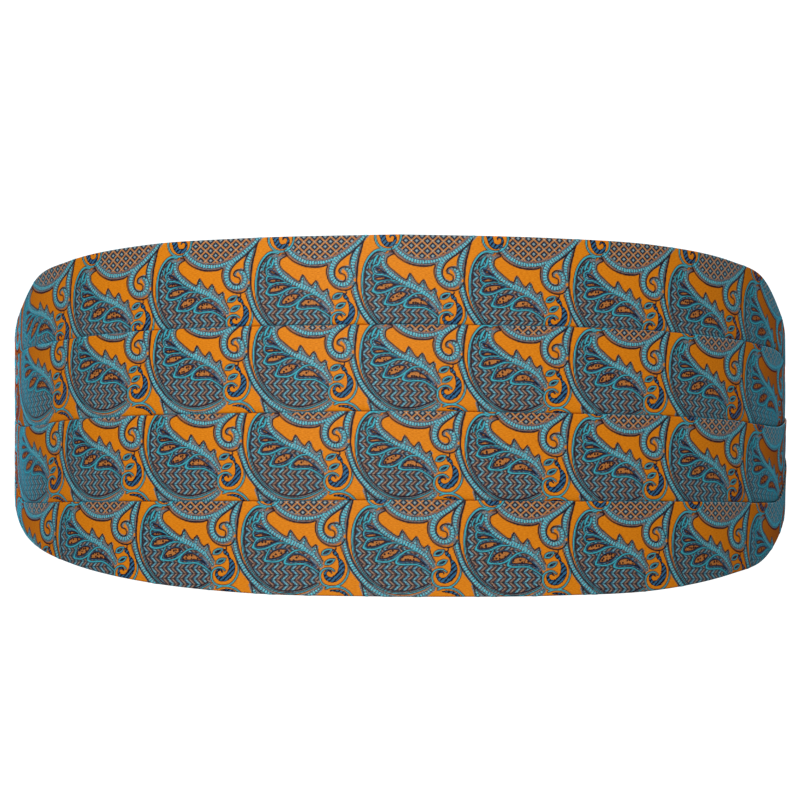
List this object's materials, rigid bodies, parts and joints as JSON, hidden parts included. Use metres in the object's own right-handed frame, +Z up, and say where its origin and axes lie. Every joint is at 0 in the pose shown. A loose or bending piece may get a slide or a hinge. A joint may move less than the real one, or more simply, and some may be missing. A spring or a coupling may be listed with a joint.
{
  "type": "cummerbund",
  "caption": "Pleated waist sash of patterned woven cloth, folded upward-opening pleats in front, elastic straps and a flat slotted clasp behind.",
  "frame": {"origin": "middle of the wearer's waist, inside the loop, level with the middle of the band", "axes": "+X along the loop's long way, to the viewer's right from the front; the front faces -Y; +Z up along the wearer's waist"},
  "size_m": [0.303, 0.2079, 0.1349],
  "materials": {
    "cloth": "woven jacquard silk, soft sheen",
    "webbing": "ribbed elastic webbing",
    "clasp": "moulded, satin"
  },
  "bodies": {
    "root": {"pleated_cloth": "cloth", "strap_left": "webbing", "strap_right": "webbing", "back_clasp": "clasp"}
  },
  "joints": []
}
